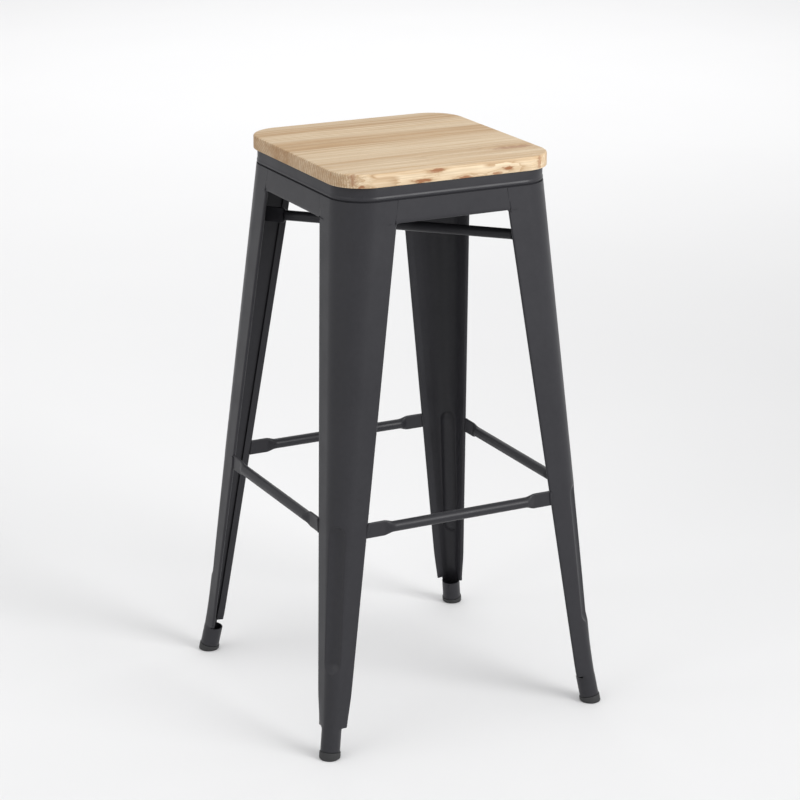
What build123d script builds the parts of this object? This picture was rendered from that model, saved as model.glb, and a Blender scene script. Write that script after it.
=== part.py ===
from build123d import *

import math
import os

# A four-legged metal bar stool with a glued wooden seat and a footrest bar on each side.
# Millimetres, +Z up. The origin is on the floor, under the middle of the seat.
# Seat edges run along X and Y, and the wood's grain runs along X. "front" is the -Y side.

# --- driving dimensions: seat ---
STOOL_HEIGHT = 760.0
SEAT_WIDTH = 310.0
SEAT_CORNER_RADIUS = 47.0
BOARD_THICKNESS = 18.0
BOARD_TOP_ROUNDING = 2.5
BOARD_BOTTOM_ROUNDING = 1.0
INNER_BOARD_WIDTH = 115.0

# --- driving dimensions: pressed legs, which lean out and taper downwards ---
LEG_TOP = 723.0
LEG_CUT = 40.0
LEG_SHEET = 1.2
FACE_AT_TOP = 152.2
FACE_SLOPE = 0.0758
FLANGE_AT_FLOOR = 28.0
FLANGE_TAPER = 0.066
CORNER_AT_FLOOR = 10.5
CORNER_TAPER = 0.0512
HEM_WIDTH = 11.0
HEM_DEPTH = 5.0
HEM_BEND = 2.4
FLARE_TOP = 100.0
FLARE_AT_FLOOR = 5.7
FLARE_STEPS = 2

# --- driving dimensions: stiffening rib pressed into each leg's corner ---
RIB_BOTTOM = 115.0
RIB_TOP = 313.0
RIB_RADIUS = 28.0
RIB_DEPTH = 5.0

# --- driving dimensions: leg foot, where the sheet is rolled into a tube ---
TUBE_RADIUS = 13.0
TUBE_LEAN = 0.22
TUBE_END = 9.4
RIM_HEIGHT = 36.0
RIM_DIP = 2.0
SEAM_WIDTH = 0.6
SEAM_BOTTOM = 12.0

# --- driving dimensions: rubber feet ---
FOOT_RADIUS = 14.0
FOOT_GROOVE = 0.8
FOOT_CHAMFER = 2.0
PLUG_RADIUS = 11.2
PLUG_LENGTH = 16.0

# --- driving dimensions: apron strips and seat pan ---
APRON_BOTTOM = 693.0
PAN_SHEET = 1.0
PAN_TOP_BEND = 2.0
PAN_FLANGE_BOTTOM = 703.0

# --- driving dimensions: footrest bars and under-seat braces, tubes with flattened ends ---
BAR_RADIUS = 7.0
BAR_WALL = 1.2
FLAT_HEIGHT = 21.0
FLAT_THICKNESS = 3.0
FOOTREST_HEIGHT = 300.0
FOOTREST_INSET = 2.0
FOOTREST_FLAT_START = 112.5
FOOTREST_FLATTENING = 15.5
BRACE_HEIGHT = 648.5
BRACE_FLAT_START = 162.0
BRACE_FLATTENING = 5.5
BRACE_GAP = 0.4

# --- driving dimensions: fastenings ---
SCREW_HEAD_RADIUS = 4.0
SCREW_HEAD_HEIGHT = 2.4
SCREW_HEAD_BEVEL = 1.0
SCREW_RADIUS = 2.0
SCREW_LENGTH = 15.0
SCREW_SPACING_X = 160.0
SCREW_EDGE_DISTANCE = 17.5
SCREW_HOLE_CLEARANCE = 0.3
WELD_RADIUS = 1.9
CENTRE_WELD_RADIUS = 6.0

# --- derived dimensions ---
SEAT_UNDERSIDE = STOOL_HEIGHT - BOARD_THICKNESS
DIAGONAL = math.sqrt(2)
CORNER_RISE = DIAGONAL - 1
TUBE_STRETCH = math.hypot(1, TUBE_LEAN)

# Blocks that trim other shapes are this wide, which is wider than the whole stool.
TRIM_WIDTH = 2 * SEAT_WIDTH

# One quadrant holds each piece that repeats, and these turns place its four copies.
LEG_TURNS = {"rear_right": 0, "rear_left": 90, "front_left": 180, "front_right": 270}
SIDE_TURNS = {"rear": 0, "left": 90, "front": 180, "right": 270}


def face_distance(z):
    """Distance of the legs' flat outer faces from the stool's axis."""
    return FACE_AT_TOP + FACE_SLOPE * (LEG_TOP - z)


def flange_width(z):
    return FLANGE_AT_FLOOR + FLANGE_TAPER * z


def corner_radius(z):
    return CORNER_AT_FLOOR + CORNER_TAPER * z


def edge_distance(z):
    """Sideways distance of a leg's free edge from the middle of the stool's side."""
    return face_distance(z) - flange_width(z)


def apex_distance(z):
    """Distance along the diagonal from the stool's axis to a leg's rounded corner."""
    return DIAGONAL * face_distance(z) - CORNER_RISE * corner_radius(z)


def flare(z):
    """How far a leg's bottom curves out along the diagonal, beyond its straight lean."""
    return FLARE_AT_FLOOR * max(1 - z / FLARE_TOP, 0) ** 2


def tube_centre(z):
    """Distance along the diagonal from the stool's axis to the foot tube's centre line."""
    return apex_distance(LEG_CUT) + flare(LEG_CUT) - TUBE_RADIUS + TUBE_LEAN * (LEG_CUT - z)


def on_diagonal(distance, z):
    return Vector(distance / DIAGONAL, distance / DIAGONAL, z)


def along_diagonal(outline, half_width):
    """A prism from an outline drawn in the upright plane through the +X +Y diagonal."""
    plane = Plane(origin=(0, 0, 0), x_dir=(1, 1, 0), z_dir=(1, -1, 0))
    return extrude(plane * make_face(outline), half_width, both=True)


def largest(shape):
    return max(shape.solids(), key=lambda solid: solid.volume)


def rounded_square(half_width, radius, z):
    return Pos(0, 0, z) * RectangleRounded(2 * half_width, 2 * half_width, radius)


# --- legs ---
def hemmed_section(z):
    """The leg's section below the apron: an angle with a rounded corner and open hems on its free edges."""
    face = face_distance(z)
    edge = edge_distance(z)
    inner = face - LEG_SHEET
    inner_edge = edge + LEG_SHEET
    back = face - HEM_DEPTH
    inner_back = back + LEG_SHEET
    hem_end = edge + HEM_WIDTH
    corner = corner_radius(z)
    points = [
        (hem_end, back), (edge, back), (edge, face), (face, face), (face, edge),
        (back, edge), (back, hem_end),
        (inner_back, hem_end), (inner_back, inner_edge), (inner, inner_edge), (inner, inner),
        (inner_edge, inner), (inner_edge, inner_back), (hem_end, inner_back),
    ]
    outside = HEM_BEND
    inside = HEM_BEND - LEG_SHEET
    radii = [0, outside, outside, corner, outside, outside, 0,
             0, inside, inside, corner - LEG_SHEET, inside, inside, 0]
    section = make_face(FilletPolyline(*points, radius=radii, close=True))
    return Pos(on_diagonal(flare(z), z)) * section


def plain_section(z):
    """The leg's section beside the apron, where it has no hems."""
    face = face_distance(z)
    edge = edge_distance(z)
    inner = face - LEG_SHEET
    corner = corner_radius(z)
    points = [(edge, face), (face, face), (face, edge), (inner, edge), (inner, inner), (edge, inner)]
    radii = [0, corner, 0, 0, corner - LEG_SHEET, 0]
    return Pos(0, 0, z) * make_face(FilletPolyline(*points, radius=radii, close=True))


def leg_envelope():
    """The space inside a leg's outer faces, used to keep the rib inside them."""
    sections = []
    for z in (LEG_CUT, APRON_BOTTOM):
        face = face_distance(z)
        inside = edge_distance(z)
        points = [(inside, inside), (inside, face), (face, face), (face, inside)]
        outline = FilletPolyline(*points, radius=[0, 0, corner_radius(z), 0], close=True)
        sections.append(Pos(0, 0, z) * make_face(outline))
    return loft(sections, ruled=True)


def rib_tool(radius):
    """A round-ended bar along the leg's corner that presses the rib in."""
    stand_off = RIB_RADIUS - RIB_DEPTH
    end_reach = math.sqrt(RIB_RADIUS**2 - stand_off**2)
    ends = []
    for z in (RIB_BOTTOM + end_reach, RIB_TOP - end_reach):
        ends.append(on_diagonal(apex_distance(z) + stand_off, z))
    axis = Plane(origin=ends[0], z_dir=ends[1] - ends[0])
    bar = axis * extrude(Circle(radius), (ends[1] - ends[0]).length)
    tool = Part() + bar
    for end in ends:
        tool += Pos(end) * Sphere(radius)
    return tool


def foot_axis(z):
    """A plane across the foot tube's centre line, facing down along it."""
    lean = TUBE_LEAN / DIAGONAL
    return Plane(origin=on_diagonal(tube_centre(z), z), x_dir=(1, -1, 0), z_dir=(lean, lean, -1))


def foot_tube():
    """The rolled foot: a leaning tube with a shallow dip in its rim and a seam below the dip."""
    ring = Circle(TUBE_RADIUS) - Circle(TUBE_RADIUS - LEG_SHEET)
    blank_top = LEG_CUT + TUBE_RADIUS * TUBE_LEAN
    tube = foot_axis(blank_top) * extrude(ring, (blank_top - TUBE_END) * TUBE_STRETCH)
    middle = tube_centre(RIM_HEIGHT)
    reach = 2 * TUBE_RADIUS
    slope = RIM_DIP / TUBE_RADIUS
    top = LEG_CUT + reach
    rim_cut = [(middle, RIM_HEIGHT), (middle - reach, RIM_HEIGHT - reach * slope), (middle - reach, top),
               (middle, top)]
    tube -= along_diagonal(Polyline(*rim_cut, close=True), reach)
    tube -= Pos(0, 0, LEG_CUT) * extrude(Rectangle(TRIM_WIDTH, TRIM_WIDTH), reach)
    low = tube_centre(SEAM_BOTTOM)
    seam = [(low, SEAM_BOTTOM), (low - reach, SEAM_BOTTOM), (low - reach, top), (low, top)]
    tube -= along_diagonal(Polyline(*seam, close=True), SEAM_WIDTH / 2)
    return largest(tube)


def leg():
    heights = [LEG_CUT + (FLARE_TOP - LEG_CUT) * step / FLARE_STEPS for step in range(FLARE_STEPS + 1)]
    channel = loft([hemmed_section(z) for z in [*heights, APRON_BOTTOM]], ruled=True)
    top = loft([plain_section(APRON_BOTTOM), plain_section(LEG_TOP)], ruled=True)
    bump = (rib_tool(RIB_RADIUS + LEG_SHEET) & leg_envelope()) - rib_tool(RIB_RADIUS)
    pressed = (channel - rib_tool(RIB_RADIUS)) + bump
    return largest(pressed + top + foot_tube())


def rubber_foot():
    """A foot with a level base, a top square to the leaning tube and a plug that fills it."""
    top = foot_axis(TUBE_END - FOOT_GROOVE)
    blank_height = 2 * TUBE_END
    foot = top * extrude(Circle(FOOT_RADIUS), blank_height)
    foot &= extrude(Rectangle(TRIM_WIDTH, TRIM_WIDTH), blank_height)
    base = foot.faces().sort_by(Axis.Z)[0]
    foot = chamfer(base.edges(), FOOT_CHAMFER)
    plug = top * extrude(Circle(PLUG_RADIUS), -PLUG_LENGTH * TUBE_STRETCH)
    return foot + plug


# --- aprons and seat pan ---
def apron():
    """The strip that closes the rear side between two legs, with an open hem on its lower edge."""
    top = face_distance(LEG_TOP)
    bottom = face_distance(APRON_BOTTOM)
    hem_top = APRON_BOTTOM + HEM_WIDTH
    back = face_distance(hem_top) - HEM_DEPTH
    inner_bottom = APRON_BOTTOM + LEG_SHEET
    inner = face_distance(inner_bottom) - LEG_SHEET
    inner_back = bottom - HEM_DEPTH + LEG_SHEET
    points = [
        (top, LEG_TOP), (bottom, APRON_BOTTOM), (bottom - HEM_DEPTH, APRON_BOTTOM), (back, hem_top),
        (back + LEG_SHEET, hem_top), (inner_back, inner_bottom),
        (inner, inner_bottom), (top - LEG_SHEET, LEG_TOP),
    ]
    outside = HEM_BEND
    inside = HEM_BEND - LEG_SHEET
    radii = [0, outside, outside, 0, 0, inside, inside, 0]
    profile = make_face(Plane.YZ * FilletPolyline(*points, radius=radii, close=True))
    strip = extrude(profile, SEAT_WIDTH / 2, both=True)
    wide = edge_distance(APRON_BOTTOM)
    narrow = edge_distance(LEG_TOP)
    ends = [(-wide, APRON_BOTTOM), (wide, APRON_BOTTOM), (narrow, LEG_TOP), (-narrow, LEG_TOP)]
    trim = extrude(make_face(Plane.XZ * Polyline(*ends, close=True)), SEAT_WIDTH, both=True)
    return largest(strip & trim)


def pan_block(inset):
    """The pan's outer form shrunk by an inset: level-sided above the legs, leaning inside them."""
    def inner_face(z):
        return face_distance(z) - LEG_SHEET - inset

    def inner_corner(z):
        return corner_radius(z) - LEG_SHEET - inset

    half = inner_face(LEG_TOP)
    radius = inner_corner(LEG_TOP)
    height = SEAT_UNDERSIDE - inset - LEG_TOP
    upper = extrude(rounded_square(half, radius, LEG_TOP), height)
    upper = fillet(upper.faces().sort_by(Axis.Z)[-1].edges(), PAN_TOP_BEND - inset)
    low = PAN_FLANGE_BOTTOM
    bottom_section = rounded_square(inner_face(low), inner_corner(low), low)
    return upper + loft([bottom_section, rounded_square(half, radius, LEG_TOP)], ruled=True)


def seat_pan():
    pan = pan_block(0) - pan_block(PAN_SHEET)
    for place in screw_places():
        hole = Circle(SCREW_RADIUS + SCREW_HOLE_CLEARANCE)
        pan -= place * extrude(hole, PAN_SHEET, both=True)
    return largest(pan)


# --- seat boards and their screws ---
def screw_places():
    """Two screws for each board: on the middle of an inner board, nearer in on an outer one."""
    inner = INNER_BOARD_WIDTH / 2
    outer = INNER_BOARD_WIDTH + SCREW_EDGE_DISTANCE
    places = []
    for y in (-outer, -inner, inner, outer):
        for x in (-SCREW_SPACING_X / 2, SCREW_SPACING_X / 2):
            places.append(Pos(x, y, SEAT_UNDERSIDE))
    return places


def seat_screw():
    """A wood screw driven up through the pan, with its head under the pan's sheet."""
    head_top = -PAN_SHEET
    head_bottom = head_top - SCREW_HEAD_HEIGHT
    point = SCREW_LENGTH - SCREW_RADIUS * 2
    outline = Polyline(
        (0, head_bottom), (SCREW_HEAD_RADIUS - SCREW_HEAD_BEVEL, head_bottom),
        (SCREW_HEAD_RADIUS, head_bottom + SCREW_HEAD_BEVEL), (SCREW_HEAD_RADIUS, head_top),
        (SCREW_RADIUS, head_top), (SCREW_RADIUS, point), (0, SCREW_LENGTH), close=True,
    )
    return revolve(Plane.XZ * make_face(outline), Axis.Z)


def seat_screws():
    return [place * seat_screw() for place in screw_places()]


def seat_boards(screws):
    slab = extrude(rounded_square(SEAT_WIDTH / 2, SEAT_CORNER_RADIUS, SEAT_UNDERSIDE), BOARD_THICKNESS)
    slab = fillet(slab.faces().sort_by(Axis.Z)[-1].edges(), BOARD_TOP_ROUNDING)
    slab = fillet(slab.faces().sort_by(Axis.Z)[0].edges(), BOARD_BOTTOM_ROUNDING)
    for screw in screws:
        slab -= screw
    joints = [-SEAT_WIDTH, -INNER_BOARD_WIDTH, 0, INNER_BOARD_WIDTH, SEAT_WIDTH]
    boards = {}
    for index, name in enumerate(["front", "middle_front", "middle_rear", "rear"]):
        low, high = joints[index], joints[index + 1]
        cell = Box(TRIM_WIDTH, high - low, STOOL_HEIGHT)
        boards[name] = largest(slab & Pos(0, (low + high) / 2, STOOL_HEIGHT) * cell)
    return boards


# --- footrest bars, braces and their welds ---
def flattened_bar(flat_start, flattening, flat_end):
    """A tube along X whose ends are pressed flat and upright."""
    tube_end = flat_start - flattening
    bar = Cylinder(BAR_RADIUS, 2 * tube_end, rotation=(0, 90, 0))
    round_section = Plane(origin=(tube_end, 0, 0), x_dir=(0, 0, 1), z_dir=(1, 0, 0)) * Circle(BAR_RADIUS)
    flat_plane = Plane(origin=(flat_start, 0, 0), x_dir=(0, 0, 1), z_dir=(1, 0, 0))
    flat_section = flat_plane * SlotOverall(FLAT_HEIGHT, FLAT_THICKNESS)
    half = loft([round_section, flat_section]) + extrude(flat_section, flat_end - flat_start)
    bar += half
    bar += half.mirror(Plane.YZ)
    return bar - Cylinder(BAR_RADIUS - BAR_WALL, 2 * tube_end, rotation=(0, 90, 0))


def footrest_bar():
    """The rear bar, with each end cut along the leg's leaning edge."""
    depth = face_distance(FOOTREST_HEIGHT) - FOOTREST_INSET
    blank = flattened_bar(FOOTREST_FLAT_START, FOOTREST_FLATTENING, face_distance(0))
    bar = Pos(0, depth, FOOTREST_HEIGHT) * blank
    low = FOOTREST_HEIGHT - FLAT_HEIGHT
    high = FOOTREST_HEIGHT + FLAT_HEIGHT
    ends = [(-edge_distance(low), low), (edge_distance(low), low),
            (edge_distance(high), high), (-edge_distance(high), high)]
    trim = extrude(make_face(Plane.XZ * Polyline(*ends, close=True)), TRIM_WIDTH, both=True)
    return largest(bar & trim)


def brace(height, turn, legs):
    """An under-seat brace on a diagonal, with its ends fitted to the inner faces of two legs."""
    reach = apex_distance(height) - LEG_SHEET / 2
    blank = flattened_bar(BRACE_FLAT_START, BRACE_FLATTENING, reach)
    bar = Rot(0, 0, turn) * Pos(0, 0, height) * blank
    for placed_leg in legs:
        bar -= placed_leg
    return largest(bar)


def bead(start, end, radius):
    axis = Plane(origin=start, z_dir=end - start)
    return axis * extrude(Circle(radius), (end - start).length)


def footrest_beads(bar, legs):
    """Weld beads inside and outside both ends of the rear bar, fitted to the bar and the legs."""
    beads = []
    reach = FLAT_HEIGHT / 2 - FLAT_THICKNESS / 2
    depth = face_distance(FOOTREST_HEIGHT) - FOOTREST_INSET
    for side in (-1, 1):
        for across in (-FLAT_THICKNESS / 2, FLAT_THICKNESS / 2):
            ends = []
            for z in (FOOTREST_HEIGHT - reach, FOOTREST_HEIGHT + reach):
                ends.append(Vector(side * edge_distance(z), depth + across, z))
            blank = bead(ends[0], ends[1], WELD_RADIUS)
            for neighbour in [bar, *legs]:
                blank -= neighbour
            beads.append(largest(blank))
    return beads


def brace_beads(height, turn, placed_brace, legs):
    """Weld beads on both sides of each brace end, in the leg's corner."""
    beads = []
    reach = FLAT_HEIGHT / 2 - FLAT_THICKNESS / 2
    for half_turn in (0, 180):
        for across in (-FLAT_THICKNESS / 2, FLAT_THICKNESS / 2):
            ends = []
            for z in (height - reach, height + reach):
                ends.append(Vector(apex_distance(z) - LEG_SHEET, across, z))
            blank = Rot(0, 0, turn + half_turn) * bead(ends[0], ends[1], WELD_RADIUS)
            for neighbour in [placed_brace, *legs]:
                blank -= neighbour
            beads.append(largest(blank))
    return beads


def centre_weld(lower, upper):
    middle = BRACE_HEIGHT + BAR_RADIUS + BRACE_GAP / 2
    blank = Pos(0, 0, middle) * Cylinder(CENTRE_WELD_RADIUS, BAR_RADIUS)
    return largest(blank - lower - upper)


def save(name, *shapes):
    solids = [solid for shape in shapes for solid in shape.solids()]
    shape = solids[0] if len(solids) == 1 else Compound(children=solids)
    export_step(shape, f"parts/{name}.step")


def main():
    os.makedirs("parts", exist_ok=True)

    one_leg = leg()
    one_foot = rubber_foot()
    legs = []
    for name, turn in LEG_TURNS.items():
        placed_leg = Rot(0, 0, turn) * one_leg
        legs.append(placed_leg)
        save(f"leg_{name}", placed_leg)
        save(f"rubber_foot_{name}", Rot(0, 0, turn) * one_foot)

    one_apron = apron()
    one_bar = footrest_bar()
    one_bar_beads = footrest_beads(one_bar, legs[:2])
    bar_beads = []
    for name, turn in SIDE_TURNS.items():
        save(f"apron_{name}", Rot(0, 0, turn) * one_apron)
        save(f"footrest_bar_{name}", Rot(0, 0, turn) * one_bar)
        bar_beads += [Rot(0, 0, turn) * one_bead for one_bead in one_bar_beads]
    save("footrest_welds", *bar_beads)

    braces = []
    beads = []
    upper_height = BRACE_HEIGHT + 2 * BAR_RADIUS + BRACE_GAP
    for height, turn in ((BRACE_HEIGHT, -45), (upper_height, 45)):
        placed_brace = brace(height, turn, legs)
        braces.append(placed_brace)
        beads += brace_beads(height, turn, placed_brace, legs)
    save("brace_lower", braces[0])
    save("brace_upper", braces[1])
    save("brace_welds", centre_weld(*braces), *beads)

    screws = seat_screws()
    save("seat_screws", *screws)
    save("seat_pan", seat_pan())
    for name, board in seat_boards(screws).items():
        save(f"seat_board_{name}", board)


main()
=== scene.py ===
import math

import bmesh
import bpy
from mathutils import Matrix, Vector


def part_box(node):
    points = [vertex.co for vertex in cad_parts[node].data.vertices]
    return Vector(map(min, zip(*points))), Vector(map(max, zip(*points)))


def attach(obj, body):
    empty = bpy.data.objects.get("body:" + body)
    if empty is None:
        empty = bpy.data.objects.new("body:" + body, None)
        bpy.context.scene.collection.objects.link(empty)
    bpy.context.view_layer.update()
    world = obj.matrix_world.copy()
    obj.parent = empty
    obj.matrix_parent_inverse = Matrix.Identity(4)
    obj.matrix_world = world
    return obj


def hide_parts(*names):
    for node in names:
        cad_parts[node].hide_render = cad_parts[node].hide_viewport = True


# The looks of a metal bar stool with a glued wooden seat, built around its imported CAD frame.
# Sizes are in millimetres, and a mesh is turned into metres when it is made. +Z is up, the seat's
# edges and the wood's grain run along X and Y, and "front" is the -Y side.

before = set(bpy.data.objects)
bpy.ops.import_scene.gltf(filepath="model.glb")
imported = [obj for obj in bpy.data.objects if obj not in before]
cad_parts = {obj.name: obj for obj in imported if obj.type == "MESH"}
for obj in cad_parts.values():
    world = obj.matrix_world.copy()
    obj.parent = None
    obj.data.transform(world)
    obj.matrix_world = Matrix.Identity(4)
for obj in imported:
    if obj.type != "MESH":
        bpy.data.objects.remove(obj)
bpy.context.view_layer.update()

MM = 0.001


def corners(node):
    """A CAD node's lowest and highest corners, in millimetres."""
    low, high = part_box(node)
    return Vector(low) / MM, Vector(high) / MM


# --- sizes read from the frame ---
BOARD_LOW, BOARD_HIGH = corners("seat_board_middle_rear")
APRON_LOW, APRON_HIGH = corners("apron_rear")
BAR_LOW, BAR_HIGH = corners("footrest_bar_rear")
BRACE_LOW, BRACE_HIGH = corners("brace_lower")

SEAT_TOP = BOARD_HIGH.z
SEAT_UNDERSIDE = BOARD_LOW.z
SEAT_HALF = BOARD_HIGH.x
INNER_BOARD_WIDTH = BOARD_HIGH.y
APRON_BOTTOM = APRON_LOW.z
FRAME_TOP = APRON_HIGH.z
FOOTREST_HEIGHT = (BAR_LOW.z + BAR_HIGH.z) / 2
BRACE_HEIGHT = (BRACE_LOW.z + BRACE_HIGH.z) / 2
FLAT_HEIGHT = BAR_HIGH.z - BAR_LOW.z
PAN_BOTTOM = corners("seat_pan")[0].z

# --- seat boards and pan ---
SEAT_CORNER_RADIUS = 47.0
BOARD_TOP_ROUNDING = 2.5
BOARD_BOTTOM_ROUNDING = 1.0
GLUE_LINE_BEVEL = 0.12
PAN_SHEET = 1.0
PAN_TOP_BEND = 2.0
PAN_FLARE = 0.8
PAN_FLARE_HEIGHT = 3.0
PAN_LIP_GAP = 1.4
PAN_LIP_HEIGHT = 2.2
PAN_STEP_DEPTH = 1.0
PAN_CLEARANCE = 0.1
# The lip's rounded edge and the step in under it, as distances outwards and above the lip's underside.
PAN_LIP_EDGE = [(0.0, 0.8), (-0.3, 0.2), (-0.9, 0.0)]
PAN_LIP_STEP = [(-0.5, -0.1), (-0.8, -0.6)]

# --- pressed legs ---
LEG_SHEET = 1.2
LEG_CUT = 40.0
FACE_SLOPE = 0.0758
FACE_AT_TOP = 152.2
FLANGE_AT_FLOOR = 28.0
FLANGE_TAPER = 0.066
CORNER_AT_FLOOR = 10.5
CORNER_TAPER = 0.0512
HEM_RADIUS = 2.1
HEM_RETURN = 8.4
FLARE_TOP = 100.0
FLARE_AT_FLOOR = 5.7
TOP_GAP = 0.5
RIB_BOTTOM = 115.0
RIB_TOP = 313.0
RIB_RADIUS = 18.0
RIB_HALF_WIDTH = 11.3
RIB_HALF_MOON = 13.0
RIB_END_CURVE = 1.7
RIB_END_REACH = 16.0
RIB_SOFTNESS = 1.3

# --- aprons ---
APRON_CORNER = 3.0
SEAM_GAP = 0.4
SEAM_FADE = 17.0

# --- rolled foot and rubber foot ---
TUBE_RADIUS = 13.0
TUBE_LEAN = 0.22
TUBE_END = 9.4
RIM_HEIGHT = 36.0
RIM_DIP = 2.0
ROLL_TOP = 43.0
CURL_TOP = 88.0
CURL_DEPTH = 2.6
ROLL_ARC_ON_FLAT = 10.2
TUBE_SEAM_GAP = 0.5
FOOT_RADIUS = 14.0
FOOT_GROOVE = 0.8
FOOT_ROUNDING = 2.0
FOOT_TOP_ROUNDING = 0.6
PLUG_RADIUS = 11.2

# --- footrest bars and braces ---
BAR_RADIUS = 7.0
FLAT_THICKNESS = 3.0
FLATTENING = 15.5
FOOTREST_INSET = 2.0
FOOTREST_FLAT_START = 112.5
BRACE_FLAT_START = 162.0
BRACE_FLATTENING = 5.5
BRACE_GAP = 0.4

# --- screws under the seat ---
SCREW_HEAD_RADIUS = 4.0
SCREW_HEAD_HEIGHT = 2.4
SCREW_SPACING_X = 160.0
SCREW_EDGE_DISTANCE = 17.5
RECESS_REACH = 2.1
RECESS_HALF_WIDTH = 0.55
RECESS_DEPTH = 1.3
RECESS_EDGE = 0.4
RECESS_TAPER = 0.25
SCREW_DOME_SHARE = 0.35
SCREW_TURN = 2.4

# --- how finely the meshes are divided ---
ARC_STEPS = 20
ROLL_STEPS = 8
FLAT_STEPS = 4
HEM_STEPS = 8
RETURN_STEPS = 2
BACK_STEPS = 18
TUBE_ROWS = 12
ROUND_STEPS = 64
CORNER_STEPS = 24
APRON_STEPS = 8
PAN_FLARE_STEPS = 6
BAR_FLATTENING_STEPS = 14
SCREW_STEPS = 26

EDGE_BEVEL = 0.28
SHARP_ANGLE = math.radians(42)
DIAGONAL = math.sqrt(2)
STRETCH = math.hypot(1, TUBE_LEAN)

LEG_TURNS = {"rear_right": 0, "rear_left": 90, "front_left": 180, "front_right": 270}
SIDE_TURNS = {"rear": 0, "left": 90, "front": 180, "right": 270}


# --- small helpers ---
def mix(a, b, share):
    return a + (b - a) * share


def smooth_step(value):
    value = min(max(value, 0.0), 1.0)
    return value * value * (3 - 2 * value)


def soft_min(a, b, softness):
    """The smaller of two numbers, with the change from one to the other rounded off."""
    blend = max(softness - abs(a - b), 0.0) / softness
    return min(a, b) - blend * blend * softness / 4


def levels(start, *stretches):
    """Heights from start through each (end, steps) stretch, evenly spaced within it."""
    heights = [start]
    for end, steps in stretches:
        first = heights[-1]
        heights += [mix(first, end, step / steps) for step in range(1, steps + 1)]
    return heights


def quarter_arc(radius, steps):
    """A rounding as (inset, drop) pairs, from its full inset to its full drop."""
    angles = [math.radians(90) * step / steps for step in range(steps + 1)]
    return [(radius * (1 - math.sin(angle)), radius * (1 - math.cos(angle))) for angle in angles]


# --- outlines shared with the CAD legs ---
def face_distance(z):
    return FACE_AT_TOP + FACE_SLOPE * (FRAME_TOP - z)


def edge_distance(z):
    return face_distance(z) - FLANGE_AT_FLOOR - FLANGE_TAPER * z


def corner_radius(z):
    return CORNER_AT_FLOOR + CORNER_TAPER * z


def apex_distance(z):
    return DIAGONAL * face_distance(z) - (DIAGONAL - 1) * corner_radius(z)


def flare(z):
    return FLARE_AT_FLOOR * max(1 - z / FLARE_TOP, 0) ** 2


def tube_centre(z):
    return apex_distance(LEG_CUT) + flare(LEG_CUT) - TUBE_RADIUS + TUBE_LEAN * (LEG_CUT - z)


def from_diagonal(along, across, z):
    """A point from its distance along the +X +Y diagonal and its distance across it."""
    return Vector(((along - across) / DIAGONAL, (along + across) / DIAGONAL, z))


# --- meshes ---
def add_grid(bm, rows):
    """Quads between neighbouring points of neighbouring rows. None leaves a hole."""
    grid = [[point and bm.verts.new(point * MM) for point in row] for row in rows]
    for upper, lower in zip(grid, grid[1:]):
        for column in range(len(upper) - 1):
            quad = (upper[column], lower[column], lower[column + 1], upper[column + 1])
            if all(quad):
                bm.faces.new(quad)


def add_rings(bm, rings, end_cap=True):
    """A skin through rings of points. A flat face closes its start, and its end unless told not to."""
    loops = [[bm.verts.new(point * MM) for point in ring] for ring in rings]
    for first, second in zip(loops, loops[1:]):
        count = len(first)
        for index in range(count):
            after = (index + 1) % count
            bm.faces.new((first[index], second[index], second[after], first[after]))
    bm.faces.new(loops[0])
    if end_cap:
        bm.faces.new(reversed(loops[-1]))


def new_piece(name, bm, material):
    """A smooth-shaded object from a bmesh, carrying a material."""
    bmesh.ops.remove_doubles(bm, verts=bm.verts, dist=1e-7)
    for face in bm.faces:
        face.smooth = True
    mesh = bpy.data.meshes.new(name)
    bm.to_mesh(mesh)
    bm.free()
    mesh.materials.append(material)
    piece = bpy.data.objects.new(name, mesh)
    bpy.context.scene.collection.objects.link(piece)
    return piece


def turned_copy(piece, name, degrees):
    """A copy of a piece turned about the stool's upright axis, with the turn in its mesh."""
    mesh = piece.data.copy()
    mesh.transform(Matrix.Rotation(math.radians(degrees), 4, "Z"))
    copy = bpy.data.objects.new(name, mesh)
    bpy.context.scene.collection.objects.link(copy)
    for modifier in piece.modifiers:
        twin = copy.modifiers.new(modifier.name, modifier.type)
        twin.width = modifier.width
        twin.segments = modifier.segments
        twin.limit_method = modifier.limit_method
        twin.harden_normals = modifier.harden_normals
    return copy


def apply_modifiers(piece):
    depsgraph = bpy.context.evaluated_depsgraph_get()
    mesh = bpy.data.meshes.new_from_object(piece.evaluated_get(depsgraph))
    piece.modifiers.clear()
    piece.data = mesh


def thicken(piece, sheet):
    solidify = piece.modifiers.new("sheet", "SOLIDIFY")
    solidify.thickness = sheet * MM
    solidify.offset = -1
    solidify.use_even_offset = True
    apply_modifiers(piece)


def always(_middle):
    return True


def round_edges(piece, width, wanted=always):
    """Rounds the sharp edges whose middle, in millimetres, is wanted."""
    bm = bmesh.new()
    bm.from_mesh(piece.data)
    weight = bm.edges.layers.float.new("bevel_weight_edge")
    for edge in bm.edges:
        middle = (edge.verts[0].co + edge.verts[1].co) / (2 * MM)
        sharp = len(edge.link_faces) == 2 and edge.calc_face_angle() > SHARP_ANGLE
        edge[weight] = 1.0 if sharp and wanted(middle) else 0.0
    bm.to_mesh(piece.data)
    bm.free()
    bevel = piece.modifiers.new("edges", "BEVEL")
    bevel.width = width * MM
    bevel.segments = 2
    bevel.limit_method = "WEIGHT"
    bevel.harden_normals = True


def place(piece, slot, *nodes):
    """Makes a piece ride on the stool and stand for its CAD nodes."""
    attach(piece, "root")
    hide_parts(*nodes)


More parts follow.
